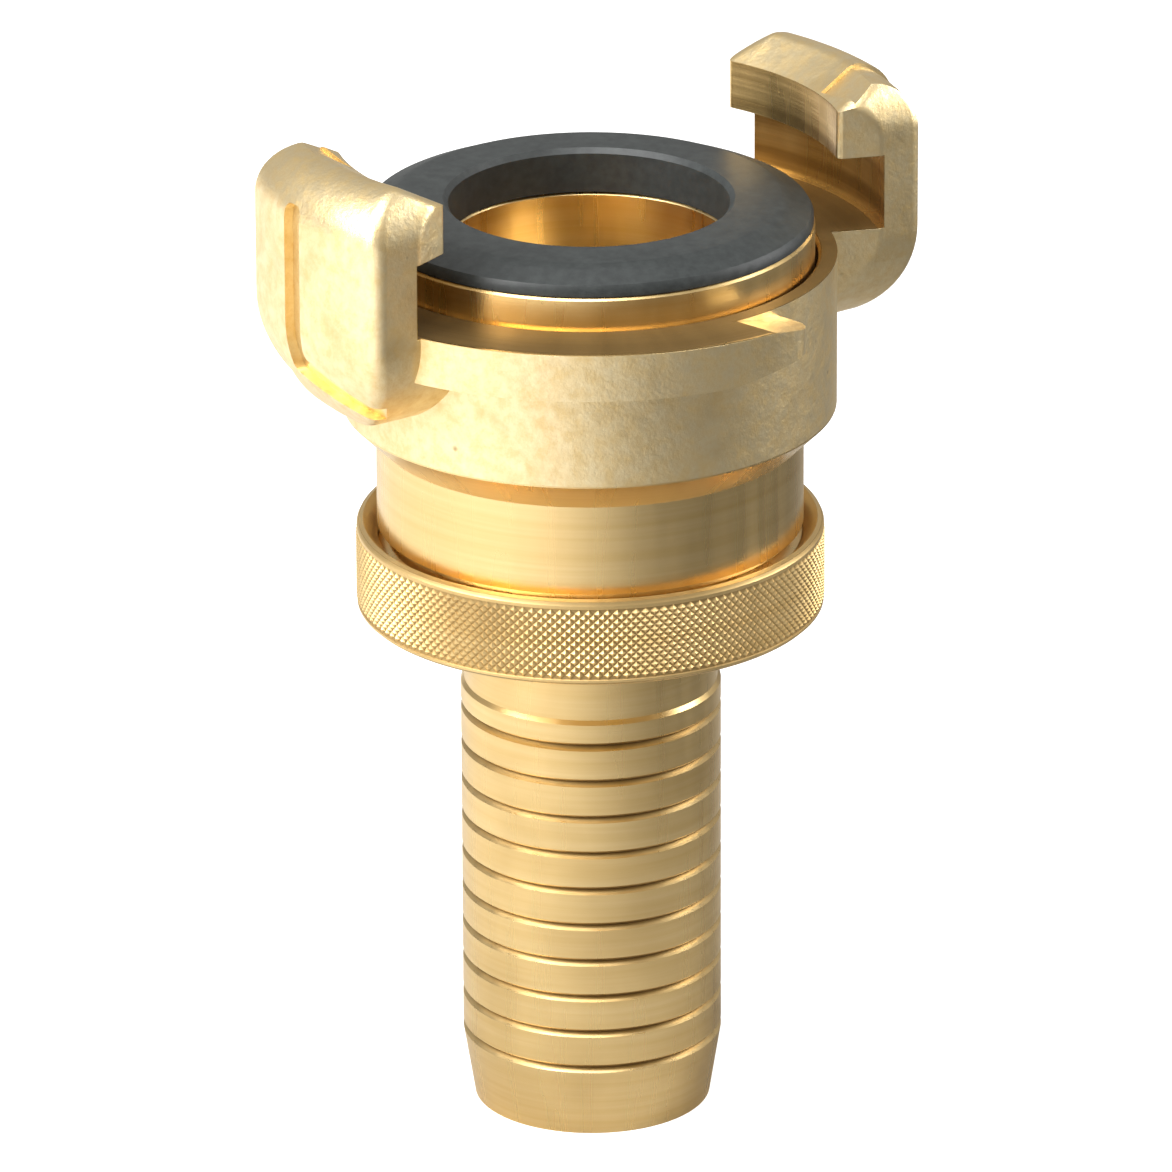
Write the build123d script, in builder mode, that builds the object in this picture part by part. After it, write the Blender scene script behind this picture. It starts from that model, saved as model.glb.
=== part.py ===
"""Quarter turn hose coupling with two claws, a swivelling ribbed tail and a knurled nut.

The coupling stands on the free end of its hose tail, with its axis on Z and its two
claws on the X axis.  All sizes are in millimetres.  Heights count from the foot.
"""
import os
from math import atan, cos, degrees, hypot, radians, sin, tan

from build123d import *

os.makedirs("parts", exist_ok=True)

# ---------------------------------------------------------------- driving dimensions
# Claw interface, shared by every coupling of this size
lug_spacing = 40.0  # inner face of one claw lip to the other
lip_reach = 3.8  # how far a lip hooks inwards past the undercut
lip_underside = 6.0  # from the rim up to the underside of a lip
lip_side_depth = 1.80878  # from the inner face of a lip to where its radial sides become the sides of the claw
claw_wall = 3.5  # from the undercut to the outer face of a claw
claw_half_width = 8.9  # straight sides of a claw, beyond the undercut
claw_rise = 11.8  # from the rim to the top of a claw
claw_drop = 9.4  # from the rim down to the root of a claw
claw_dip = 1.9  # fall of the top from its crest to the lip
claw_corner = 4.2  # rounding of the upper corners and of the top of the outer face
claw_edge = 1.4  # rounding of the outer edges of a claw
crown_cover = 1.0  # how far the outline of a claw clears its crest
lip_edge = 0.5  # rounding of the corners of a lip

# Flanges that the claws of the mating coupling hook under
flange_thickness = 3.8
flange_clearance = 0.3  # from a flange to the undercut of the mating claw
flange_reach = 82.5  # angle from the side of a claw to the entry end of its flange
flange_end_rounding = 2.2
entry_angle = 20.0  # angle of the bevelled lead-in below the entry end
entry_lift = 1.3  # height of the bevel at the entry end
entry_fall = 0.8  # fall of the top of the flange at the entry end
detent_height = 0.4  # bump that keeps the mating claw from turning back
detent_angle = 3.0

# Groove round the pad on the outer face of a claw
groove_depth = 0.8
groove_width = 2.2
groove_side = -1.9  # from the middle of the claw to the groove
groove_foot = 4.6  # from the root of the claw up to the groove
groove_fall = 3.6  # fall of the groove where it turns and runs out on the flange side
groove_top = 2.6  # from the groove up to the top of the claw
ridge_width = 1.3  # ridge between the groove and the stepped back side
ridge_height = 0.35

# Turned body
rim_height = 71.7
neck_clearance = 0.5  # from the neck to the lips of the mating claws
neck_length = 12.5
shoulder = 2.6  # 45 degree shoulder between the neck and the barrel
barrel_length = 12.0
bore_radius = 14.0
rim_wall = 1.5  # rim round the head of the tail
rim_edge = 0.3
thread_depth = 0.8
thread_length = 4.0

# Hose tail
head_rise = 2.6  # head of the tail above the rim, with the nut done up
head_height = 10.2
head_clearance = 0.25
head_edge = 0.3
lift_travel = 2.6  # fall of the tail when the nut is undone
head_floor_gap = 1.4
shank_clearance = 0.25
waterway_radius = 8.0
throat_radius = 11.15
tail_radius = 10.1
rib_radius = 10.36
rib_pitch = 3.08
rib_notch = 0.7  # width of the notch between two ribs
notch_depth = 0.43
notch_count = 10
first_notch_height = 6.0
last_rib_height = 1.5  # rib above the last notch
tip_radius = 9.45

# Rubber seal
seal_thickness = 1.9  # above the head of the tail
seal_overhang = 0.1  # seal inside the edge of the head
seal_bevel = 2.6
seal_bevel_height = 1.0
seal_edge = 0.4
seal_foot_depth = 1.7
seal_foot_width = 3.1
seal_bore_radius = 11.07
seal_slack = 0.1

# Knurled nut and slip ring
nut_radius = 18.6
nut_height = 7.1
nut_floor = 2.2
nut_edge = 0.5
nut_end_gap = 0.1  # barrel to the floor of the nut, with the nut done up
nut_mouth_clearance = 0.3
nut_mouth_chamfer = 0.8
nut_hole_clearance = 0.3
thread_clearance = 0.06
slip_ring_thickness = 1.0
slip_ring_clearance = 0.2

# ---------------------------------------------------------------- sizes worked out
lip_radius = lug_spacing / 2
neck_radius = lip_radius - neck_clearance
claw_angle = degrees(atan(claw_half_width / (lip_radius + lip_side_depth)))
undercut_radius = lip_radius + lip_reach
flange_radius = undercut_radius - flange_clearance
claw_radius = undercut_radius + claw_wall
claw_top = rim_height + claw_rise
claw_root = rim_height - claw_drop
lip_foot = rim_height + lip_underside
flange_foot = rim_height - flange_thickness

neck_foot = rim_height - neck_length
barrel_radius = neck_radius - shoulder
barrel_top = neck_foot - shoulder
barrel_end = barrel_top - barrel_length
thread_root_radius = barrel_radius - thread_depth
thread_top = barrel_end + thread_length

recess_radius = neck_radius - rim_wall
head_radius = recess_radius - head_clearance
head_top = rim_height + head_rise
head_foot = head_top - head_height
recess_floor = head_foot - lift_travel - head_floor_gap

nut_floor_top = barrel_end - nut_end_gap
nut_foot = nut_floor_top - nut_floor
nut_top = nut_foot + nut_height
nut_bore_radius = thread_root_radius + thread_clearance
nut_mouth_radius = barrel_radius + nut_mouth_clearance
nut_hole_radius = rib_radius + nut_hole_clearance

notch_heights = [first_notch_height + number * rib_pitch for number in range(notch_count)]
last_rib_top = notch_heights[-1] + rib_notch / 2 + last_rib_height
shank_radius = bore_radius - shank_clearance
shank_foot = nut_floor_top + slip_ring_thickness

seal_radius = head_radius - seal_overhang
seal_top = head_top + seal_thickness
seal_foot = head_top - seal_foot_depth
seal_foot_radius = seal_bore_radius + seal_foot_width


def radial_plane(degrees):
    """Upright plane through the axis, with its x direction at an angle about Z."""
    angle = radians(degrees)
    return Plane((0, 0, 0), x_dir=(cos(angle), sin(angle), 0), z_dir=(sin(angle), -cos(angle), 0))


# ---------------------------------------------------------------- claw, as forged
# Section through a claw, which is turned about the axis over the angle that the claw spans
section_plane = radial_plane(-1.3 * claw_angle)
with BuildSketch(section_plane) as claw_section:
    with BuildLine():
        back = Line((claw_radius, claw_root + claw_half_width), (claw_radius, claw_top - claw_corner))
        crown = TangentArc(back @ 1, (claw_radius - claw_corner, claw_top), tangent=(0, 1))
        dip = Line(crown @ 1, (neck_radius - 1, claw_top - 1.5 * claw_dip))
        belly = TangentArc(back @ 0, (lip_radius, claw_root - 1), tangent=(0, -1))
        inside = Polyline(dip @ 1, (neck_radius - 1, claw_root - 1), belly @ 1)
    make_face()

with BuildPart() as claw:
    add(claw_section.sketch)
    revolve(axis=Axis.Z, revolution_arc=2.6 * claw_angle)

    # Outline of the claw, seen from outside: rounded corners above, a half round below.
    # It clears the crest, so that only its corners cut into the section.
    with BuildSketch(Plane.YZ) as claw_outline:
        with Locations((0, claw_root + claw_half_width)):
            Circle(claw_half_width)
            Rectangle(
                2 * claw_half_width,
                claw_top - claw_root - claw_half_width + crown_cover,
                align=(Align.CENTER, Align.MIN),
            )
        fillet(claw_outline.vertices().group_by(Axis.Y)[-1], claw_corner + crown_cover)
    extrude(amount=claw_radius + 1, mode=Mode.INTERSECT)

    # Radial sides of the lip
    reach = 2 * claw_radius
    with BuildSketch(Plane.XY.offset(claw_root - 1)):
        with BuildLine():
            Polyline(
                (0, 0),
                (reach, -reach * tan(radians(claw_angle))),
                (reach, reach * tan(radians(claw_angle))),
                close=True,
            )
        make_face()
    extrude(amount=claw_rise + claw_drop + 2, mode=Mode.INTERSECT)
    fillet(claw.edges().filter_by(lambda edge: edge.center().X > lip_radius + 0.5), claw_edge)

# ---------------------------------------------------------------- cutters for the outer face
# Groove beside the pad, which turns at its foot and runs out below the pad
with BuildPart() as groove:
    with BuildSketch(Plane.YZ.offset(lip_radius)):
        with BuildLine():
            Polyline(
                (groove_side, claw_top - groove_top),
                (groove_side, claw_root + groove_foot),
                (claw_half_width, claw_root + groove_foot - groove_fall),
                (claw_half_width, claw_root + groove_foot - groove_fall + 0.8 * groove_width),
                (groove_side + groove_width, claw_root + groove_foot + 0.8 * groove_width),
                (groove_side + groove_width, claw_top - groove_top),
                close=True,
            )
        make_face()
        fillet(vertices(), 0.35 * groove_width)
    extrude(amount=claw_radius)
    with BuildSketch(section_plane):
        add(claw_section.sketch_local)
        offset(amount=-groove_depth, mode=Mode.REPLACE)
    revolve(axis=Axis.Z, revolution_arc=2.6 * claw_angle, mode=Mode.SUBTRACT)

# Shallow step behind the ridge
with BuildPart() as back_step:
    with BuildSketch(Plane.YZ.offset(lip_radius)):
        with Locations((groove_side - ridge_width - claw_half_width / 2, (claw_root + claw_top) / 2)):
            Rectangle(claw_half_width, claw_top - claw_root)
    extrude(amount=claw_radius)
    with BuildSketch(section_plane):
        add(claw_section.sketch_local)
        offset(amount=-ridge_height, mode=Mode.REPLACE)
    revolve(axis=Axis.Z, revolution_arc=2.6 * claw_angle, mode=Mode.SUBTRACT)

# ---------------------------------------------------------------- flange, from claw to entry end
entry_side = claw_angle + flange_reach
with BuildPart() as flange:
    with BuildSketch(radial_plane(0)):
        with Locations(((neck_radius - 1 + flange_radius) / 2, rim_height - flange_thickness / 2)):
            Rectangle(flange_radius - neck_radius + 1, flange_thickness)
    revolve(axis=Axis.Z, revolution_arc=entry_side)
    entry_corner = flange.edges().filter_by(Axis.Z).sort_by(Axis.Y)[-1]
    fillet(entry_corner, flange_end_rounding)

    # Lead-in below the entry end and the fall of its top, cut by planes along a radius
    entry_arc = flange_radius * radians(entry_angle)
    with BuildSketch(radial_plane(entry_side + 90)):
        with BuildLine():
            Polyline(
                (0, flange_foot),
                (-entry_arc, flange_foot),
                (0.2 * entry_arc, flange_foot + 1.2 * entry_lift),
                (0.2 * entry_arc, flange_foot),
                close=True,
            )
        make_face()
    extrude(amount=2 * flange_radius, mode=Mode.SUBTRACT)
    with BuildSketch(radial_plane(entry_side + 90)):
        with BuildLine():
            Polyline(
                (-0.6 * entry_arc, rim_height),
                (0.2 * entry_arc, rim_height),
                (0.2 * entry_arc, rim_height - 1.3 * entry_fall),
                close=True,
            )
        make_face()
    extrude(amount=2 * flange_radius, mode=Mode.SUBTRACT)

    # Detent: a low rounded bump across the underside
    detent_side = entry_side - entry_angle - detent_angle / 2
    with BuildSketch(radial_plane(detent_side + 90)):
        with Locations((0, flange_foot)):
            Ellipse(flange_radius * radians(detent_angle / 2), detent_height)
    extrude(amount=flange_radius - 0.4)
    with BuildSketch(Plane.XY.offset(flange_foot - 1)):
        Circle(neck_radius - 1)
    extrude(amount=flange_thickness + 2, mode=Mode.SUBTRACT)

# ---------------------------------------------------------------- claw body
with BuildPart() as claw_body:
    # Turned barrel, shoulder, neck and rim
    with BuildSketch(Plane.XZ):
        with BuildLine():
            Polyline(
                (bore_radius, barrel_end),
                (thread_root_radius, barrel_end),
                (thread_root_radius, thread_top),
                (barrel_radius, thread_top + 0.9 * thread_depth),
                (barrel_radius, barrel_top),
                (neck_radius, neck_foot),
                (neck_radius, rim_height),
                (recess_radius + rim_edge, rim_height),
                (recess_radius, rim_height - rim_edge),
                (recess_radius, recess_floor),
                (bore_radius, recess_floor),
                close=True,
            )
        make_face()
    revolve(axis=Axis.Z)

    # Two claws and two flanges
    for turn in (0, 180):
        add(claw.part.rotate(Axis.Z, turn))
        add(flange.part.rotate(Axis.Z, turn))

    # Undercut below the lips and the inner faces of the lips, turned clear of the rim
    with BuildSketch(Plane.XZ):
        with BuildLine():
            Polyline(
                (0, rim_height),
                (undercut_radius, rim_height),
                (undercut_radius, lip_foot),
                (lip_radius, lip_foot),
                (lip_radius, claw_top + 2),
                (0, claw_top + 2),
                close=True,
            )
        make_face()
    revolve(axis=Axis.Z, mode=Mode.SUBTRACT)

    # Recess for the head of the tail, cut through what the claws added inside it
    with BuildSketch(Plane.XY.offset(recess_floor)):
        Circle(recess_radius)
    extrude(amount=rim_height - recess_floor, mode=Mode.SUBTRACT)

    # Worn corners at both ends of each lip
    def on_lip_corner(edge):
        middle = edge.center()
        return abs(hypot(middle.X, middle.Y) - lip_radius) < 0.01 and middle.Z > lip_foot

    fillet(claw_body.edges().filter_by(Axis.Z).filter_by(on_lip_corner), lip_edge)

    # Grooves and steps in the outer faces of the claws
    for turn in (0, 180):
        add(groove.part.rotate(Axis.Z, turn), mode=Mode.SUBTRACT)
        add(back_step.part.rotate(Axis.Z, turn), mode=Mode.SUBTRACT)

claw_body.part.label = "claw_body"
export_step(claw_body.part, "parts/claw_body.step")

# ---------------------------------------------------------------- hose tail
with BuildPart() as hose_tail:
    with BuildSketch(Plane.XZ):
        # Waterway, tip, ribbed tail, shank and head
        with BuildLine():
            Polyline(
                (waterway_radius, 0),
                (tip_radius, 0),
                (rib_radius, first_notch_height - rib_notch / 2),
                (rib_radius, last_rib_top),
                (tail_radius, last_rib_top + rib_notch / 2),
                (tail_radius, shank_foot),
                (shank_radius, shank_foot),
                (shank_radius, head_foot),
                (head_radius, head_foot),
                (head_radius, head_top - head_edge),
                (head_radius - head_edge, head_top),
                (seal_foot_radius + seal_slack, head_top),
                (seal_foot_radius + seal_slack, seal_foot),
                (throat_radius + head_edge, seal_foot),
                (throat_radius, seal_foot - head_edge),
                (throat_radius, head_foot),
                (waterway_radius, head_foot - 1.5 * (throat_radius - waterway_radius)),
                close=True,
            )
        make_face()

        # Notches between the ribs
        with Locations([(rib_radius, height) for height in notch_heights]):
            Polygon((0, -rib_notch / 2), (-notch_depth, 0), (0, rib_notch / 2), align=None, mode=Mode.SUBTRACT)
    revolve(axis=Axis.Z)

hose_tail.part.label = "hose_tail"
export_step(hose_tail.part, "parts/hose_tail.step")

# ---------------------------------------------------------------- rubber seal
with BuildPart() as seal_ring:
    with BuildSketch(Plane.XZ):
        with BuildLine():
            Polyline(
                (seal_bore_radius, seal_foot),
                (seal_foot_radius, seal_foot),
                (seal_foot_radius, head_top),
                (seal_radius, head_top),
                (seal_radius, seal_top - seal_bevel_height - seal_edge),
                (seal_radius - 0.6 * seal_edge, seal_top - seal_bevel_height),
                (seal_radius - seal_bevel, seal_top),
                (seal_bore_radius + seal_edge, seal_top),
                (seal_bore_radius, seal_top - seal_edge),
                close=True,
            )
        make_face()
    revolve(axis=Axis.Z)

seal_ring.part.label = "seal_ring"
export_step(seal_ring.part, "parts/seal_ring.step")

# ---------------------------------------------------------------- slip ring
with BuildPart() as slip_ring:
    with BuildSketch(Plane.XY.offset(nut_floor_top)):
        Circle(shank_radius - slip_ring_clearance)
        Circle(rib_radius + slip_ring_clearance, mode=Mode.SUBTRACT)
    extrude(amount=slip_ring_thickness)

slip_ring.part.label = "slip_ring"
export_step(slip_ring.part, "parts/slip_ring.step")

# ---------------------------------------------------------------- knurled nut
with BuildPart() as knurled_nut:
    with BuildSketch(Plane.XZ):
        with BuildLine():
            Polyline(
                (nut_hole_radius, nut_foot),
                (nut_radius - 0.6 * nut_edge, nut_foot),
                (nut_radius, nut_foot + 0.6 * nut_edge),
                (nut_radius, nut_top - nut_edge),
                (nut_radius - nut_edge, nut_top),
                (nut_mouth_radius + nut_mouth_chamfer, nut_top),
                (nut_mouth_radius, nut_top - nut_mouth_chamfer),
                (nut_bore_radius, thread_top - 0.3),
                (nut_bore_radius, nut_floor_top),
                (nut_hole_radius, nut_floor_top),
                close=True,
            )
        make_face()
    revolve(axis=Axis.Z)

knurled_nut.part.label = "knurled_nut"
export_step(knurled_nut.part, "parts/knurled_nut.step")
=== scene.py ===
"""Finishes, knurl, threads and studio for the quarter turn hose coupling.

Everything is in metres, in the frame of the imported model: the coupling stands on its
hose tail, its axis is Z and its two claws lie on X.
"""
from math import cos, pi, radians, sin

import bmesh
import bpy
from mathutils import Matrix, Vector


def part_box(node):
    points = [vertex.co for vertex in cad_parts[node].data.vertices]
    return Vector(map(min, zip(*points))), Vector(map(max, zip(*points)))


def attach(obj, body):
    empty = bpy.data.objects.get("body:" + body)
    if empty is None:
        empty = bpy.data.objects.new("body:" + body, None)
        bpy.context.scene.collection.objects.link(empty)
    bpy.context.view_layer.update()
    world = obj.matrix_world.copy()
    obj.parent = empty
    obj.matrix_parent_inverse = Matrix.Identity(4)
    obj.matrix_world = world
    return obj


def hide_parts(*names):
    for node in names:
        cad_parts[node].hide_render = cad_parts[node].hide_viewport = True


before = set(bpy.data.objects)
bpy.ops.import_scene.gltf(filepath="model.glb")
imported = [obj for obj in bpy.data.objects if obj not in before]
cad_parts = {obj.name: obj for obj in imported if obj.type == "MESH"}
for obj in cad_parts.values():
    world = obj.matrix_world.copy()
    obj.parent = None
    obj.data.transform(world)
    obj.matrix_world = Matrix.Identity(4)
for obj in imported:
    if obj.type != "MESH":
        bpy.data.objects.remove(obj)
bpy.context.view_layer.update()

MM = 0.001

# ------------------------------------------------------------------ sizes from the frame
body_low, body_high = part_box("claw_body")
nut_low, nut_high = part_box("knurled_nut")

claw_top = body_high.z
flange_radius = body_high.y
undercut_radius = flange_radius + 0.3 * MM
lip_radius = undercut_radius - 3.8 * MM
neck_radius = lip_radius - 0.5 * MM
recess_radius = neck_radius - 1.5 * MM
rim_height = claw_top - 11.8 * MM
lip_foot = rim_height + 6.0 * MM
neck_foot = rim_height - 12.5 * MM

# Barrel and nut
barrel_foot = body_low.z
barrel_radius = neck_radius - 2.6 * MM
thread_root = barrel_radius - 0.8 * MM
thread_top = barrel_foot + 4.0 * MM
nut_foot = nut_low.z
nut_top = nut_high.z
nut_radius = nut_high.x
nut_floor_top = nut_foot + 2.2 * MM
nut_hole = 10.66 * MM
nut_thread_root = thread_root + 0.78 * MM
nut_mouth = barrel_radius + 0.3 * MM

# Ribs of the tail
rib_radius = 10.36 * MM
notch_depth = 0.43 * MM
notches_foot = 5.7 * MM
notches_top = 34.1 * MM

THREAD_PITCH = 1.5 * MM
THREAD_DEPTH = 0.7 * MM

# Knurl
KNURL_COUNT = 156
KNURL_ROWS = 15
KNURL_DEPTH = 0.17 * MM
KNURL_FOOT_BAND = 0.45 * MM
KNURL_TOP_BAND = 0.75 * MM


# ------------------------------------------------------------------ node helpers
class Recipe:
    """Short way to write node trees: each call adds a node and returns an output."""

    def __init__(self, tree):
        self.tree = tree
        self.nodes = tree.nodes
        self.links = tree.links

    def feed(self, socket, given):
        if isinstance(given, (int, float, bool, tuple, list)):
            socket.default_value = given
        else:
            self.links.new(given, socket)

    def math(self, operation, a, b=None, c=None):
        node = self.nodes.new("ShaderNodeMath")
        node.operation = operation
        for socket, given in zip(node.inputs, (a, b, c)):
            if given is not None:
                self.feed(socket, given)
        return node.outputs[0]

    def radius(self, x, y):
        squares = self.math("ADD", self.math("POWER", x, 2.0), self.math("POWER", y, 2.0))
        return self.math("SQRT", squares)

    def combine(self, x, y, z):
        node = self.nodes.new("ShaderNodeCombineXYZ")
        for socket, given in zip(node.inputs, (x, y, z)):
            self.feed(socket, given)
        return node.outputs[0]

    def split(self, vector):
        node = self.nodes.new("ShaderNodeSeparateXYZ")
        self.feed(node.inputs[0], vector)
        return node.outputs

    def noise(self, vector, scale, detail=3.0, roughness=0.5):
        node = self.nodes.new("ShaderNodeTexNoise")
        self.feed(node.inputs["Vector"], vector)
        node.inputs["Scale"].default_value = scale
        node.inputs["Detail"].default_value = detail
        node.inputs["Roughness"].default_value = roughness
        return node.outputs[0]

    def cells(self, vector, scale):
        node = self.nodes.new("ShaderNodeTexVoronoi")
        self.feed(node.inputs["Vector"], vector)
        node.inputs["Scale"].default_value = scale
        return node.outputs["Distance"]

    def remap(self, given, low, high, to_low=0.0, to_high=1.0):
        node = self.nodes.new("ShaderNodeMapRange")
        node.clamp = True
        self.feed(node.inputs["Value"], given)
        limits = {"From Min": low, "From Max": high, "To Min": to_low, "To Max": to_high}
        for name, number in limits.items():
            self.feed(node.inputs[name], number)
        return node.outputs["Result"]

    def blend(self, factor, a, b):
        node = self.nodes.new("ShaderNodeMix")
        node.data_type = "RGBA"
        self.feed(node.inputs[0], factor)
        self.feed(node.inputs[6], a)
        self.feed(node.inputs[7], b)
        return node.outputs[2]

    def bump(self, height, distance):
        node = self.nodes.new("ShaderNodeBump")
        node.inputs["Distance"].default_value = distance
        node.inputs["Strength"].default_value = 1.0
        self.feed(node.inputs["Height"], height)
        return node.outputs[0]

    def group(self, tree, **given):
        node = self.nodes.new("ShaderNodeGroup")
        node.node_tree = tree
        for name, source in given.items():
            self.feed(node.inputs[name.replace("_", " ")], source)
        return node.outputs


def new_group(name, inputs, outputs):
    """An empty shader group with named inputs and number outputs."""
    tree = bpy.data.node_groups.new(name, "ShaderNodeTree")
    for label, kind, default in inputs:
        socket = tree.interface.new_socket(label, in_out="INPUT", socket_type=kind)
        if default is not None:
            socket.default_value = default
    for label in outputs:
        tree.interface.new_socket(label, in_out="OUTPUT", socket_type="NodeSocketFloat")
    start = tree.nodes.new("NodeGroupInput")
    end = tree.nodes.new("NodeGroupOutput")
    return tree, Recipe(tree), start.outputs, end.inputs


# ------------------------------------------------------------------ finish groups
def turning_group():
    """Lines that a lathe tool leaves: fine, crisp, and running nearly unbroken round the axis."""
    tree, make, given, out = new_group(
        "turning marks",
        [
            ("Place", "NodeSocketVector", None),
            ("Lines per metre", "NodeSocketFloat", 9000.0),
            ("Wander", "NodeSocketFloat", 0.35),
        ],
        ["Height", "Tone", "Streak", "Cloud"],
    )
    x, y, z = make.split(given["Place"])
    radius = make.radius(x, y)
    safe = make.math("MAXIMUM", radius, 0.0001)
    across = make.math("DIVIDE", x, safe)
    along = make.math("DIVIDE", y, safe)
    step = given["Lines per metre"]
    # Height counts the lines on a wall, and radius counts them on a flat face
    normal = tree.nodes.new("ShaderNodeNewGeometry").outputs["Normal"]
    flat = make.math("GREATER_THAN", make.math("ABSOLUTE", make.split(normal)[2]), 0.8)
    run = make.math("SUBTRACT", z, make.math("MULTIPLY", radius, flat))
    level = make.math("MULTIPLY", run, step)
    around = make.math("MULTIPLY", across, given["Wander"])
    beyond = make.math("MULTIPLY", along, given["Wander"])
    lines = make.noise(make.combine(around, beyond, level), 1.0, detail=2.0, roughness=0.7)
    slow = make.math("MULTIPLY", level, 0.16)
    bands = make.noise(make.combine(around, beyond, slow), 1.0, detail=3.0, roughness=0.6)
    upright = make.combine(
        make.math("MULTIPLY", across, 9.0),
        make.math("MULTIPLY", along, 9.0),
        make.math("MULTIPLY", z, 45.0),
    )
    streak = make.noise(upright, 1.0, detail=2.0, roughness=0.5)
    cloud = make.noise(given["Place"], 110.0, detail=2.0)
    make.feed(out["Height"], make.math("MULTIPLY_ADD", bands, 0.5, lines))
    make.feed(out["Tone"], bands)
    make.feed(out["Streak"], streak)
    make.feed(out["Cloud"], cloud)
    return tree


def forging_group():
    """Skin of a hot forging after blasting: soft lumps, bright fine grain and a few pits."""
    tree, make, given, out = new_group(
        "forged skin",
        [("Place", "NodeSocketVector", None), ("Grain", "NodeSocketFloat", 1.0)],
        ["Height", "Mottle", "Pits", "Wear"],
    )
    place = given["Place"]
    lumps = make.noise(place, 420.0, detail=3.0, roughness=0.55)
    grain = make.noise(place, 3400.0, detail=3.0, roughness=0.7)
    coarse = make.noise(place, 1500.0, detail=2.0, roughness=0.6)
    spots = make.cells(place, 420.0)
    where = make.noise(place, 240.0, detail=2.0)
    near_spot = make.remap(spots, 0.04, 0.13, 1.0, 0.0)
    hole = make.math("MULTIPLY", near_spot, make.remap(where, 0.56, 0.66))
    sand = make.math("MULTIPLY", make.math("MULTIPLY_ADD", coarse, 0.8, grain), given["Grain"])
    height = make.math("MULTIPLY_ADD", sand, 0.30, make.math("MULTIPLY", lumps, 0.9))
    make.feed(out["Height"], make.math("SUBTRACT", height, make.math("MULTIPLY", hole, 0.5)))
    make.feed(out["Mottle"], make.noise(place, 900.0, detail=5.0, roughness=0.7))
    make.feed(out["Pits"], hole)
    make.feed(out["Wear"], make.noise(place, 190.0, detail=3.0, roughness=0.6))
    return tree


def ring_band_group():
    """Mask of a turned band: within given ranges of radius and height about the axis."""
    tree, make, given, out = new_group(
        "turned band",
        [
            ("Place", "NodeSocketVector", None),
            ("Inner", "NodeSocketFloat", 0.0),
            ("Outer", "NodeSocketFloat", 1.0),
            ("Low", "NodeSocketFloat", 0.0),
            ("High", "NodeSocketFloat", 1.0),
        ],
        ["Mask"],
    )
    x, y, z = make.split(given["Place"])
    radius = make.radius(x, y)
    inner = make.math("GREATER_THAN", radius, given["Inner"])
    outer = make.math("LESS_THAN", radius, given["Outer"])
    low = make.math("GREATER_THAN", z, given["Low"])
    high = make.math("LESS_THAN", z, given["High"])
    between = make.math("MULTIPLY", inner, outer)
    make.feed(out["Mask"], make.math("MULTIPLY", between, make.math("MULTIPLY", low, high)))
    return tree


TURNING = turning_group()
FORGING = forging_group()
BAND = ring_band_group()

BRASS_LIGHT = (0.86, 0.64, 0.31, 1.0)
BRASS_MID = (0.78, 0.55, 0.235, 1.0)
BRASS_DARK = (0.42, 0.27, 0.10, 1.0)
FORGED_LIGHT = (0.96, 0.79, 0.48, 1.0)
FORGED_MID = (0.87, 0.66, 0.33, 1.0)
FORGED_STAIN = (0.60, 0.41, 0.16, 1.0)
PIT = (0.30, 0.20, 0.08, 1.0)
# Painted shade for recesses, not a colour of the brass itself
PAINTED_RECESS_SHADE = (0.20, 0.125, 0.045, 1.0)
RUBBER_DARK = (0.020, 0.023, 0.023, 1.0)
RUBBER_LIGHT = (0.034, 0.039, 0.038, 1.0)
PLASTIC_DARK = (0.70, 0.68, 0.62, 1.0)
PLASTIC_LIGHT = (0.80, 0.79, 0.74, 1.0)


def new_material(name):
    """A material with its recipe, its Principled shader and its place socket."""
    material = bpy.data.materials.new(name)
    material.use_nodes = True
    tree = material.node_tree
    tree.nodes.clear()
    shader = tree.nodes.new("ShaderNodeBsdfPrincipled")
    end = tree.nodes.new("ShaderNodeOutputMaterial")
    tree.links.new(shader.outputs[0], end.inputs[0])
    place = tree.nodes.new("ShaderNodeTexCoord").outputs["Object"]
    return material, Recipe(tree), shader, place


# ------------------------------------------------------------------ materials
def turned_brass(name, lines=9000.0, depth=0.0035 * MM, roughness=0.25, shade=None):
    """Turned brass, with fine lines round the axis and a little tarnish.

    shade gives the painted shade in its recesses as (inner radius, outer radius, foot, top, how
    dark, how much rougher).
    """
    material, make, shader, place = new_material(name)
    marks = make.group(TURNING, Place=place, Lines_per_metre=lines)
    tone = make.blend(make.remap(marks["Tone"], 0.3, 0.7), BRASS_MID, BRASS_LIGHT)
    tarnish = make.remap(marks["Cloud"], 0.45, 0.75, 0.0, 0.3)
    colour = make.blend(tarnish, tone, BRASS_DARK)
    rough = make.remap(marks["Streak"], 0.3, 0.7, roughness, roughness + 0.09)
    if shade:
        inner, outer, foot, top, darkness, rougher = shade
        x, y, _ = make.split(place)
        radius = make.radius(x, y)
        low = inner - 0.1 * MM
        band = make.group(BAND, Place=place, Inner=low, Outer=1.0, Low=foot, High=top)["Mask"]
        # Painted shade: the colour darkens towards the root of each recess, standing in for the
        # shade there, and the recess is also made rougher
        deep = make.math("MULTIPLY", make.remap(radius, inner, outer, 1.0, 0.0), band)
        colour = make.blend(make.math("MULTIPLY", deep, darkness), colour, PAINTED_RECESS_SHADE)
        rough = make.math("MULTIPLY_ADD", deep, rougher, rough)
    make.feed(shader.inputs["Base Color"], colour)
    make.feed(shader.inputs["Roughness"], rough)
    shader.inputs["Metallic"].default_value = 1.0
    make.feed(shader.inputs["Normal"], make.bump(marks["Height"], depth))
    return material


def ribbed_brass():
    """Turned brass of the hose tail, with painted shade and more roughness at the foot of its
    notches.
    """
    inner = rib_radius - notch_depth
    outer = rib_radius - 0.10 * MM
    shade = (inner, outer, notches_foot, notches_top, 0.85, 0.25)
    return turned_brass("ribbed tail brass", shade=shade)


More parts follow.
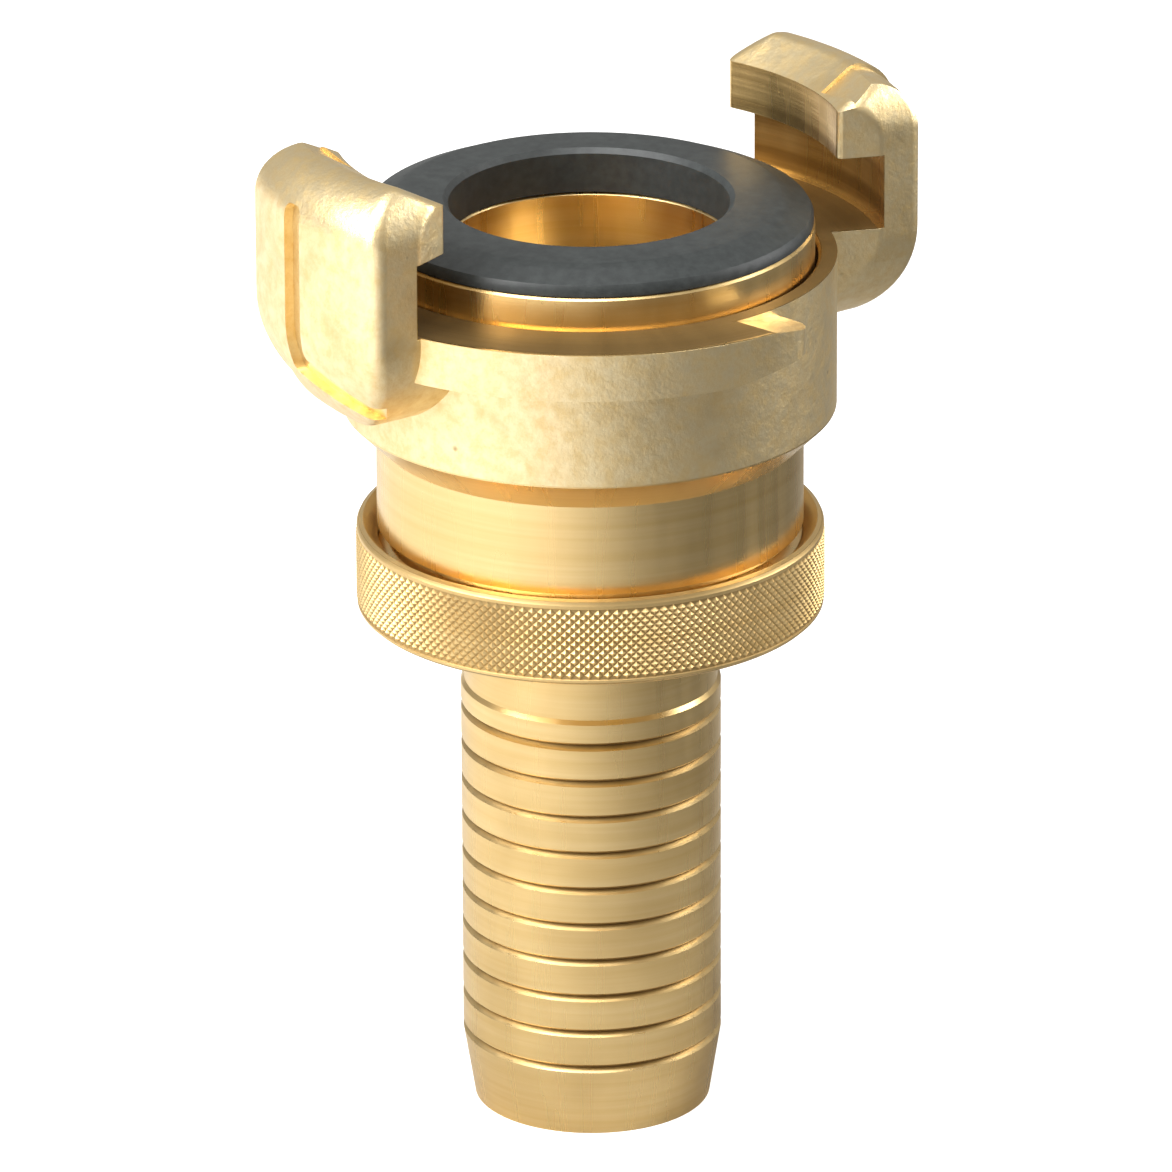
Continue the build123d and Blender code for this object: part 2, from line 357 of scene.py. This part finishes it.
def knurled_brass():
    """Brass of the nut, with painted shade and more roughness between the diamonds of its knurl."""
    inner = nut_radius - KNURL_DEPTH
    outer = nut_radius - 0.25 * KNURL_DEPTH
    shade = (inner, outer, nut_foot, nut_top, 0.55, 0.15)
    return turned_brass("knurled brass", lines=7000.0, roughness=0.36, shade=shade)


def claw_body_brass():
    """Forged brass, with turned bands where the lathe has cut the forging."""
    material, make, shader, place = new_material("forged and turned brass")
    skin = make.group(FORGING, Place=place)
    marks = make.group(TURNING, Place=place, Lines_per_metre=7000.0)
    coarse = make.group(TURNING, Place=place, Lines_per_metre=3200.0)
    hair = 0.05 * MM
    fine_bands = [
        (0.0, 1.0, 0.0, neck_foot + 0.15 * MM),
        (0.0, recess_radius + 0.35 * MM, 0.0, 1.0),
    ]
    coarse_bands = [
        (lip_radius - hair, lip_radius + hair, lip_foot - hair, 1.0),
        (undercut_radius - hair, undercut_radius + hair, rim_height - hair, lip_foot + hair),
        (lip_radius - hair, undercut_radius + hair, lip_foot - hair, lip_foot + hair),
        (neck_radius + 0.3 * MM, undercut_radius + hair, rim_height - hair, rim_height + hair),
    ]

    rim_bands = [(0.0, flange_radius - 0.25 * MM, rim_height - hair, rim_height + hair)]

    def cover(bands):
        total = 0.0
        for inner, outer, low, high in bands:
            band = make.group(BAND, Place=place, Inner=inner, Outer=outer, Low=low, High=high)
            total = make.math("MAXIMUM", total, band["Mask"])
        return total

    rim_face = cover(rim_bands)
    fine = make.math("MAXIMUM", cover(fine_bands), rim_face)
    rough_cut = cover(coarse_bands)
    turned = make.math("MAXIMUM", fine, rough_cut)

    skin_colour = make.blend(make.remap(skin["Mottle"], 0.36, 0.64), FORGED_MID, FORGED_LIGHT)
    stain = make.remap(skin["Wear"], 0.52, 0.75, 0.0, 0.4)
    skin_colour = make.blend(stain, skin_colour, FORGED_STAIN)
    skin_colour = make.blend(skin["Pits"], skin_colour, PIT)
    cut_colour = make.blend(make.remap(marks["Tone"], 0.3, 0.7), BRASS_MID, BRASS_LIGHT)
    coarse_colour = make.blend(make.remap(coarse["Tone"], 0.35, 0.62), BRASS_DARK, BRASS_MID)
    cut_colour = make.blend(rough_cut, cut_colour, coarse_colour)
    # Painted shade: the rim face is coloured almost all the way to the dark recess shade, standing
    # in for the shade that falls on it
    cut_colour = make.blend(make.math("MULTIPLY", rim_face, 0.9), cut_colour, PAINTED_RECESS_SHADE)
    make.feed(shader.inputs["Base Color"], make.blend(turned, skin_colour, cut_colour))

    streaked = make.remap(marks["Streak"], 0.3, 0.7, 0.24, 0.34)
    cut_rough = make.math("MULTIPLY_ADD", rim_face, 0.3, streaked)
    skin_rough = make.remap(skin["Mottle"], 0.3, 0.7, 0.44, 0.34)
    plain = make.math("SUBTRACT", 1.0, turned)
    rough = make.math("MULTIPLY_ADD", turned, cut_rough, make.math("MULTIPLY", plain, skin_rough))
    make.feed(shader.inputs["Roughness"], rough)
    shader.inputs["Metallic"].default_value = 1.0

    def relief(mask, source, depth):
        return make.math("MULTIPLY", mask, make.math("MULTIPLY", source["Height"], depth))

    fine_height = relief(fine, marks, 0.0045 * MM)
    coarse_height = relief(rough_cut, coarse, 0.02 * MM)
    cut_height = make.math("ADD", fine_height, coarse_height)
    height = make.math("ADD", relief(plain, skin, 0.075 * MM), cut_height)
    make.feed(shader.inputs["Normal"], make.bump(height, 1.0))
    return material


def black_rubber():
    """Moulded rubber, dull, with faint rings from its mould and a trace of dust."""
    material, make, shader, place = new_material("black rubber")
    marks = make.group(TURNING, Place=place, Lines_per_metre=2500.0)
    dust = make.noise(place, 1200.0, detail=4.0, roughness=0.65)
    cloud = make.noise(place, 90.0, detail=2.0)
    colour = make.blend(make.remap(dust, 0.35, 0.7), RUBBER_DARK, RUBBER_LIGHT)
    make.feed(shader.inputs["Base Color"], colour)
    make.feed(shader.inputs["Roughness"], make.remap(cloud, 0.35, 0.65, 0.40, 0.50))
    height = make.math("MULTIPLY_ADD", dust, 0.6, marks["Height"])
    make.feed(shader.inputs["Normal"], make.bump(height, 0.005 * MM))
    return material


def slip_plastic():
    """Pale turned plastic of the slip ring."""
    material, make, shader, place = new_material("slip plastic")
    marks = make.group(TURNING, Place=place, Lines_per_metre=5000.0)
    colour = make.blend(marks["Tone"], PLASTIC_DARK, PLASTIC_LIGHT)
    make.feed(shader.inputs["Base Color"], colour)
    make.feed(shader.inputs["Roughness"], make.remap(marks["Streak"], 0.3, 0.7, 0.35, 0.5))
    make.feed(shader.inputs["Normal"], make.bump(marks["Height"], 0.004 * MM))
    return material


# ------------------------------------------------------------------ mesh helpers
def add_object(name, mesh):
    """Puts a finished mesh into the scene as an object at the origin."""
    piece = bpy.data.objects.new(name, mesh)
    bpy.context.scene.collection.objects.link(piece)
    return piece


def lathe(name, outline, steps):
    """Closed ring swept from an outline of (radius, height) points, anticlockwise."""
    verts = []
    for number in range(steps):
        angle = 2 * pi * number / steps
        east, north = cos(angle), sin(angle)
        verts += [(radius * east, radius * north, height) for radius, height in outline]
    count = len(outline)
    faces = []
    for number in range(steps):
        here = number * count
        there = ((number + 1) % steps) * count
        for corner in range(count):
            after = (corner + 1) % count
            faces.append((here + corner, there + corner, there + after, here + after))
    mesh = bpy.data.meshes.new(name)
    mesh.from_pydata(verts, [], faces)
    mesh.validate()
    return mesh


def smooth_by_angle(mesh, degrees):
    """Smooth shading, with edges sharper than the angle kept crisp."""
    mesh.polygons.foreach_set("use_smooth", [True] * len(mesh.polygons))
    mesh.set_sharp_from_angle(angle=radians(degrees))


SAME_RING = 0.001 * MM
WIDEST_FACET = 0.2
NEARLY_ALIKE = 0.985


def turned_slope(mesh, face):
    """Radial and axial parts of a turned facet's true normal, or None for any other facet."""
    corners = [mesh.vertices[index].co for index in face.vertices]
    for number in range(3):
        one, two, other = corners[number], corners[number - 1], corners[number - 2]
        radius = one.xy.length
        apart = max(abs(one.z - two.z), abs(radius - two.xy.length))
        if apart > SAME_RING or radius < 1 * MM:
            continue
        outwards, along = other.xy.length - radius, other.z - one.z
        wide = (one.xy - two.xy).length > WIDEST_FACET * radius
        if wide or abs(outwards) + abs(along) < 2 * SAME_RING:
            continue
        middle = (one.xy + two.xy).normalized()
        slope = Vector((along, -outwards)).normalized()
        true = Vector((middle.x * slope.x, middle.y * slope.x, slope.y))
        if abs(true.dot(face.normal)) > NEARLY_ALIKE:
            return slope if true.dot(face.normal) > 0 else -slope
    return None


def even_turned_faces(mesh, crisp):
    """Gives turned facets the normals of the round surface that they stand for."""
    normals = [Vector(corner.vector) for corner in mesh.corner_normals]
    around = {}
    slopes = {}
    for face in mesh.polygons:
        slope = turned_slope(mesh, face)
        if slope:
            slopes[face.index] = slope
            for index in face.vertices:
                around.setdefault(index, []).append((slope, face.area))
    limit = cos(radians(crisp))
    for number, slope in slopes.items():
        face = mesh.polygons[number]
        for corner, index in zip(face.loop_indices, face.vertices):
            near = [other * area for other, area in around[index] if other.dot(slope) > limit]
            blend = sum(near, Vector((0.0, 0.0))).normalized()
            ray = mesh.vertices[index].co.xy.normalized()
            normals[corner] = Vector((ray.x * blend.x, ray.y * blend.x, blend.y))
    mesh.normals_split_custom_set(normals)


def plain_mesh(base, name):
    """The mesh that an object's modifiers make, under that name. The object itself is removed."""
    shown = base.evaluated_get(bpy.context.evaluated_depsgraph_get())
    result = bpy.data.meshes.new_from_object(shown)
    base.modifiers.clear()
    bpy.data.objects.remove(base)
    result.name = name
    return result


def finished_copy(node, name, body, material, crisp=28):
    """A welded and smoothly shaded copy of a CAD node, which is shown in its place."""
    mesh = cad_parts[node].data.copy()
    shell = bmesh.new()
    shell.from_mesh(mesh)
    bmesh.ops.remove_doubles(shell, verts=shell.verts, dist=0.0005 * MM)
    bmesh.ops.recalc_face_normals(shell, faces=shell.faces)
    shell.to_mesh(mesh)
    shell.free()
    if "custom_normal" in mesh.attributes:
        mesh.attributes.remove(mesh.attributes["custom_normal"])
    mesh.materials.clear()
    mesh.materials.append(material)
    smooth_by_angle(mesh, crisp)
    base = add_object(name + "_base", mesh)
    even = base.modifiers.new("even shading", "WEIGHTED_NORMAL")
    even.keep_sharp = True
    result = plain_mesh(base, name)
    even_turned_faces(result, crisp)
    piece = add_object(name, result)
    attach(piece, body)
    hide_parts(node)
    return piece


forged = claw_body_brass()
turned = turned_brass("turned brass")
tail_brass = ribbed_brass()
nut_brass = knurled_brass()

finished_copy("claw_body", "forged_body", "claw_body", forged)
finished_copy("hose_tail", "ribbed_tail", "hose_tail", tail_brass)
finished_copy("seal_ring", "face_seal", "hose_tail", black_rubber(), 35)
finished_copy("slip_ring", "slip_washer", "slip_ring", slip_plastic())


# ------------------------------------------------------------------ knurl and thread trees
def geometry_tree(name, inputs):
    """An empty geometry group that takes a mesh and sizes and gives a mesh."""
    tree = bpy.data.node_groups.new(name, "GeometryNodeTree")
    tree.interface.new_socket("Geometry", in_out="INPUT", socket_type="NodeSocketGeometry")
    for label, kind in inputs:
        tree.interface.new_socket(label, in_out="INPUT", socket_type=kind)
    tree.interface.new_socket("Geometry", in_out="OUTPUT", socket_type="NodeSocketGeometry")
    start = tree.nodes.new("NodeGroupInput")
    end = tree.nodes.new("NodeGroupOutput")
    return tree, Recipe(tree), start.outputs, end.inputs


def knurl_tree():
    """Diamond knurl: staggered rows of flat-topped pyramids on a cylinder about Z."""
    tree, make, given, out = geometry_tree(
        "diamond knurl",
        [
            ("Diamonds round", "NodeSocketInt"),
            ("Rows", "NodeSocketInt"),
            ("Root radius", "NodeSocketFloat"),
            ("Depth", "NodeSocketFloat"),
            ("Foot", "NodeSocketFloat"),
            ("Band height", "NodeSocketFloat"),
            ("Material", "NodeSocketMaterial"),
        ],
    )
    count = make.math("MULTIPLY", given["Diamonds round"], given["Rows"])
    points = tree.nodes.new("GeometryNodePoints")
    make.feed(points.inputs["Count"], count)
    index = tree.nodes.new("GeometryNodeInputIndex").outputs[0]
    past = make.math("DIVIDE", make.math("ADD", index, 0.5), given["Diamonds round"])
    row = make.math("FLOOR", past)
    column = make.math("SUBTRACT", index, make.math("MULTIPLY", row, given["Diamonds round"]))
    shift = make.math("MULTIPLY", make.math("MODULO", row, 2.0), 0.5)
    turns = make.math("MULTIPLY", make.math("ADD", column, shift), 2 * pi)
    angle = make.math("DIVIDE", turns, given["Diamonds round"])
    half = make.math("DIVIDE", given["Band height"], make.math("ADD", given["Rows"], 1.0))
    height = make.math("MULTIPLY_ADD", make.math("ADD", row, 1.0), half, given["Foot"])
    place = make.combine(
        make.math("MULTIPLY", make.math("COSINE", angle), given["Root radius"]),
        make.math("MULTIPLY", make.math("SINE", angle), given["Root radius"]),
        height,
    )
    moved = tree.nodes.new("GeometryNodeSetPosition")
    make.feed(moved.inputs["Geometry"], points.outputs[0])
    make.feed(moved.inputs["Position"], place)

    # A shade over unit size, so that neighbours overlap
    pyramid = tree.nodes.new("GeometryNodeMeshCone")
    pyramid.fill_type = "NGON"
    pyramid.inputs["Vertices"].default_value = 4
    pyramid.inputs["Radius Top"].default_value = 0.16
    pyramid.inputs["Radius Bottom"].default_value = 1.03
    pyramid.inputs["Depth"].default_value = 1.0
    laid = tree.nodes.new("GeometryNodeTransform")
    make.feed(laid.inputs["Geometry"], pyramid.outputs["Mesh"])
    laid.inputs["Rotation"].default_value = (0.0, pi / 2, 0.0)
    half_round = make.math("MULTIPLY", given["Root radius"], pi)
    width = make.math("DIVIDE", half_round, given["Diamonds round"])
    sized = tree.nodes.new("GeometryNodeTransform")
    make.feed(sized.inputs["Geometry"], laid.outputs[0])
    make.feed(sized.inputs["Scale"], make.combine(given["Depth"], width, half))

    spread = tree.nodes.new("GeometryNodeInstanceOnPoints")
    make.feed(spread.inputs["Points"], moved.outputs[0])
    make.feed(spread.inputs["Instance"], sized.outputs[0])
    make.feed(spread.inputs["Rotation"], make.combine(0.0, 0.0, angle))
    real = tree.nodes.new("GeometryNodeRealizeInstances")
    make.feed(real.inputs[0], spread.outputs[0])
    flat = tree.nodes.new("GeometryNodeSetShadeSmooth")
    make.feed(flat.inputs[0], real.outputs[0])
    flat.inputs["Shade Smooth"].default_value = False
    joined = tree.nodes.new("GeometryNodeJoinGeometry")
    tree.links.new(given["Geometry"], joined.inputs[0])
    tree.links.new(flat.outputs[0], joined.inputs[0])
    coated = tree.nodes.new("GeometryNodeSetMaterial")
    make.feed(coated.inputs["Geometry"], joined.outputs[0])
    make.feed(coated.inputs["Material"], given["Material"])
    make.feed(out["Geometry"], coated.outputs[0])
    return tree


def thread_tree():
    """Screw thread: a closed ridge swept up a helix about Z, run out to nothing at both ends."""
    tree, make, given, out = geometry_tree(
        "screw thread",
        [
            ("Root radius", "NodeSocketFloat"),
            ("Depth", "NodeSocketFloat"),
            ("Pitch", "NodeSocketFloat"),
            ("Foot", "NodeSocketFloat"),
            ("Turns", "NodeSocketFloat"),
            ("Start", "NodeSocketFloat"),
            ("Steps", "NodeSocketInt"),
            ("Material", "NodeSocketMaterial"),
        ],
    )
    grid = tree.nodes.new("GeometryNodeMeshGrid")
    make.feed(grid.inputs["Vertices X"], given["Steps"])
    grid.inputs["Vertices Y"].default_value = 5
    grid.inputs["Size X"].default_value = 1.0
    grid.inputs["Size Y"].default_value = 1.0
    x, y, _ = make.split(tree.nodes.new("GeometryNodeInputPosition").outputs[0])
    along = make.math("ADD", x, 0.5)
    turned_by = make.math("MULTIPLY", along, given["Turns"])
    angle = make.math("MULTIPLY_ADD", turned_by, 2 * pi, given["Start"])
    # Corners of the section: 0 lower foot, 1 and 2 crest, 3 upper foot, and 4 back at the lower one
    column = make.math("ROUND", make.math("MULTIPLY", make.math("ADD", y, 0.5), 4.0))
    corner = make.math("MODULO", column, 4.0)
    side = make.math("SUBTRACT", corner, 1.5)
    on_crest = make.math("LESS_THAN", make.math("ABSOLUTE", side), 1.0)
    run_out = make.remap(make.math("ABSOLUTE", x), 0.42, 0.5, 1.0, 0.0)
    # The feet lie a tenth of the depth inside the root, 0.38 of a pitch from the ridge's middle
    rise = make.math("MULTIPLY", make.math("MULTIPLY_ADD", on_crest, 1.1, -0.1), given["Depth"])
    radius = make.math("MULTIPLY_ADD", rise, run_out, given["Root radius"])
    width = make.math("MULTIPLY", side, make.math("MULTIPLY_ADD", on_crest, -0.04, 0.2533))
    step = make.math("MULTIPLY_ADD", width, run_out, turned_by)
    height = make.math("MULTIPLY_ADD", step, given["Pitch"], given["Foot"])
    moved = tree.nodes.new("GeometryNodeSetPosition")
    make.feed(moved.inputs["Geometry"], grid.outputs["Mesh"])
    east = make.math("MULTIPLY", make.math("COSINE", angle), radius)
    north = make.math("MULTIPLY", make.math("SINE", angle), radius)
    make.feed(moved.inputs["Position"], make.combine(east, north, height))
    welded = tree.nodes.new("GeometryNodeMergeByDistance")
    make.feed(welded.inputs["Geometry"], moved.outputs[0])
    welded.inputs["Distance"].default_value = 0.002 * MM
    joined = tree.nodes.new("GeometryNodeJoinGeometry")
    tree.links.new(given["Geometry"], joined.inputs[0])
    tree.links.new(welded.outputs[0], joined.inputs[0])
    real = tree.nodes.new("GeometryNodeRealizeInstances")
    make.feed(real.inputs[0], joined.outputs[0])
    coated = tree.nodes.new("GeometryNodeSetMaterial")
    make.feed(coated.inputs["Geometry"], real.outputs[0])
    make.feed(coated.inputs["Material"], given["Material"])
    make.feed(out["Geometry"], coated.outputs[0])
    return tree


def grow(name, mesh, tree, **sizes):
    """Runs a geometry tree on a mesh and returns the result as a plain object of that name."""
    base = add_object(name + "_base", mesh)
    step = base.modifiers.new(name, "NODES")
    step.node_group = tree
    for item in tree.interface.items_tree:
        label = item.name.replace(" ", "_")
        if item.in_out == "INPUT" and label in sizes:
            step[item.identifier] = sizes[label]
    result = plain_mesh(base, name)
    shell = bmesh.new()
    shell.from_mesh(result)
    bmesh.ops.recalc_face_normals(shell, faces=shell.faces)
    shell.to_mesh(result)
    shell.free()
    return add_object(name, result)


# ------------------------------------------------------------------ knurled nut and threads
SCREW = thread_tree()
knurl_foot = nut_foot + KNURL_FOOT_BAND
knurl_top = nut_top - KNURL_TOP_BAND
knurl_root = nut_radius - KNURL_DEPTH - 0.02 * MM
plain_band = nut_radius - 0.08 * MM
nut_outline = [
    (nut_hole, nut_foot),
    (nut_radius - 0.35 * MM, nut_foot),
    (plain_band, nut_foot + 0.25 * MM),
    (plain_band, knurl_foot - 0.03 * MM),
    (knurl_root, knurl_foot + 0.05 * MM),
    (knurl_root, knurl_top - 0.05 * MM),
    (plain_band, knurl_top + 0.03 * MM),
    (plain_band, nut_top - 0.45 * MM),
    (nut_radius - 0.22 * MM, nut_top - 0.16 * MM),
    (nut_radius - 0.55 * MM, nut_top),
    (nut_mouth + 0.8 * MM, nut_top),
    (nut_mouth, nut_top - 0.8 * MM),
    (nut_thread_root, thread_top - 0.3 * MM),
    (nut_thread_root, nut_floor_top),
    (nut_hole, nut_floor_top),
]
nut_blank = lathe("nut_blank", nut_outline, 256)
nut_thread = grow(
    "nut_thread",
    nut_blank,
    SCREW,
    Root_radius=nut_thread_root,
    Depth=-THREAD_DEPTH,
    Pitch=THREAD_PITCH,
    Foot=barrel_foot + 0.55 * MM,
    Turns=1.7,
    Start=-2 * pi * (0.5 + 0.1 * MM / THREAD_PITCH),
    Steps=180,
    Material=nut_brass,
)
blank = nut_thread.data
bpy.data.objects.remove(nut_thread)
smooth_by_angle(blank, 25)
nut = grow(
    "nut_with_knurl",
    blank,
    knurl_tree(),
    Diamonds_round=KNURL_COUNT,
    Rows=KNURL_ROWS,
    Root_radius=knurl_root,
    Depth=KNURL_DEPTH,
    Foot=knurl_foot,
    Band_height=knurl_top - knurl_foot,
    Material=nut_brass,
)
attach(nut, "knurled_nut")
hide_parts("knurled_nut")

barrel_thread = grow(
    "barrel_thread",
    bpy.data.meshes.new("thread_start"),
    SCREW,
    Root_radius=thread_root,
    Depth=THREAD_DEPTH,
    Pitch=THREAD_PITCH,
    Foot=barrel_foot + 0.65 * MM,
    Turns=2.1,
    Start=0.0,
    Steps=220,
    Material=turned,
)
smooth_by_angle(barrel_thread.data, 25)
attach(barrel_thread, "claw_body")


# ------------------------------------------------------------------ studio
def softbox(name, place, target, width, height, power):
    """A rectangular area lamp that faces a target."""
    lamp = bpy.data.lights.new(name, "AREA")
    lamp.shape = "RECTANGLE"
    lamp.size = width
    lamp.size_y = height
    lamp.energy = power
    holder = bpy.data.objects.new(name, lamp)
    bpy.context.scene.collection.objects.link(holder)
    holder.location = place
    holder.rotation_euler = (Vector(target) - Vector(place)).to_track_quat("-Z", "Y").to_euler()


CLAW_TURN = radians(34.2)
VIEW_TILT = radians(21.7)
FLOOR_GLOW = 0.93
ROOM_LIGHT = 0.42


def studio_point(right, depth, height):
    """A point given as seen by the camera: to its right, away from it, and up."""
    turn = -CLAW_TURN
    return Vector((
        right * cos(turn) - depth * sin(turn),
        right * sin(turn) + depth * cos(turn),
        height,
    ))


def floor_material():
    """White sweep: it sends light back mostly at the left, and shows white to the camera."""
    material = bpy.data.materials.new("studio floor")
    material.use_nodes = True
    tree = material.node_tree
    tree.nodes.clear()
    make = Recipe(tree)
    x, y, _ = make.split(tree.nodes.new("ShaderNodeTexCoord").outputs["Object"])
    right = studio_point(1.0, 0.0, 0.0)
    east = make.math("MULTIPLY", x, right.x)
    sideways = make.math("MULTIPLY_ADD", y, right.y, east)
    shade = make.remap(sideways, -0.09, 0.10, 0.66, 0.10)
    dull = tree.nodes.new("ShaderNodeBsdfDiffuse")
    make.feed(dull.inputs["Color"], make.blend(shade, (0.0, 0.0, 0.0, 1.0), (1.0, 0.99, 0.97, 1.0)))
    glow = tree.nodes.new("ShaderNodeEmission")
    camera_ray = tree.nodes.new("ShaderNodeLightPath").outputs["Is Camera Ray"]
    make.feed(glow.inputs["Strength"], make.math("MULTIPLY", camera_ray, FLOOR_GLOW))
    both = tree.nodes.new("ShaderNodeAddShader")
    tree.links.new(dull.outputs[0], both.inputs[0])
    tree.links.new(glow.outputs[0], both.inputs[1])
    end = tree.nodes.new("ShaderNodeOutputMaterial")
    tree.links.new(both.outputs[0], end.inputs[0])
    return material


def build_studio():
    """Floor, world and lamps."""
    mesh = bpy.data.meshes.new("studio_floor")
    half = 3.0
    corners = [(-half, -half, 0), (half, -half, 0), (half, half, 0), (-half, half, 0)]
    mesh.from_pydata(corners, [], [(0, 1, 2, 3)])
    floor = bpy.data.objects.new("studio_floor", mesh)
    bpy.context.scene.collection.objects.link(floor)
    mesh.materials.append(floor_material())

    world = bpy.data.worlds.new("studio")
    bpy.context.scene.world = world
    world.use_nodes = True
    tree = world.node_tree
    tree.nodes.clear()
    seen = tree.nodes.new("ShaderNodeBackground")
    seen.inputs["Color"].default_value = (1.0, 1.0, 1.0, 1.0)
    room = tree.nodes.new("ShaderNodeBackground")
    room.inputs["Strength"].default_value = ROOM_LIGHT
    room.inputs["Color"].default_value = (1.0, 0.98, 0.95, 1.0)
    mix = tree.nodes.new("ShaderNodeMixShader")
    camera_ray = tree.nodes.new("ShaderNodeLightPath").outputs["Is Camera Ray"]
    tree.links.new(camera_ray, mix.inputs[0])
    tree.links.new(room.outputs[0], mix.inputs[1])
    tree.links.new(seen.outputs[0], mix.inputs[2])
    end = tree.nodes.new("ShaderNodeOutputWorld")
    tree.links.new(mix.outputs[0], end.inputs[0])

    middle = (0, 0, 0.05)
    softbox("left softbox", studio_point(-0.70, -0.40, 0.60), middle, 0.6, 0.8, 15.0)
    softbox("right softbox", studio_point(0.8, 0.1, 0.35), middle, 0.3, 0.7, 5.0)
    softbox("top softbox", studio_point(-0.15, -0.25, 1.0), middle, 0.7, 0.7, 8.0)

    bpy.context.scene.view_settings.view_transform = "Standard"


def build_camera():
    """Long lens, level with the middle of the coupling and looking down on it."""
    distance = 0.992
    aim = studio_point(-0.36 * MM, 0.0, 43.33 * MM)
    roll = radians(0.24)
    right = studio_point(1.0, 0.0, 0.0)
    away = studio_point(0.0, 1.0, 0.0)
    look = away * cos(VIEW_TILT) + Vector((0, 0, -sin(VIEW_TILT)))
    up = away * sin(VIEW_TILT) + Vector((0, 0, cos(VIEW_TILT)))
    rolled_right = right * cos(roll) - up * sin(roll)
    rolled_up = right * sin(roll) + up * cos(roll)
    camera = bpy.data.cameras.new("camera")
    camera.lens = 383.9
    camera.sensor_width = 36.0
    camera.clip_end = 20.0
    holder = bpy.data.objects.new("camera", camera)
    bpy.context.scene.collection.objects.link(holder)
    turn = Matrix((rolled_right, rolled_up, -look)).transposed()
    holder.matrix_world = Matrix.Translation(aim - look * distance) @ turn.to_4x4()
    bpy.context.scene.camera = holder


build_studio()
build_camera()
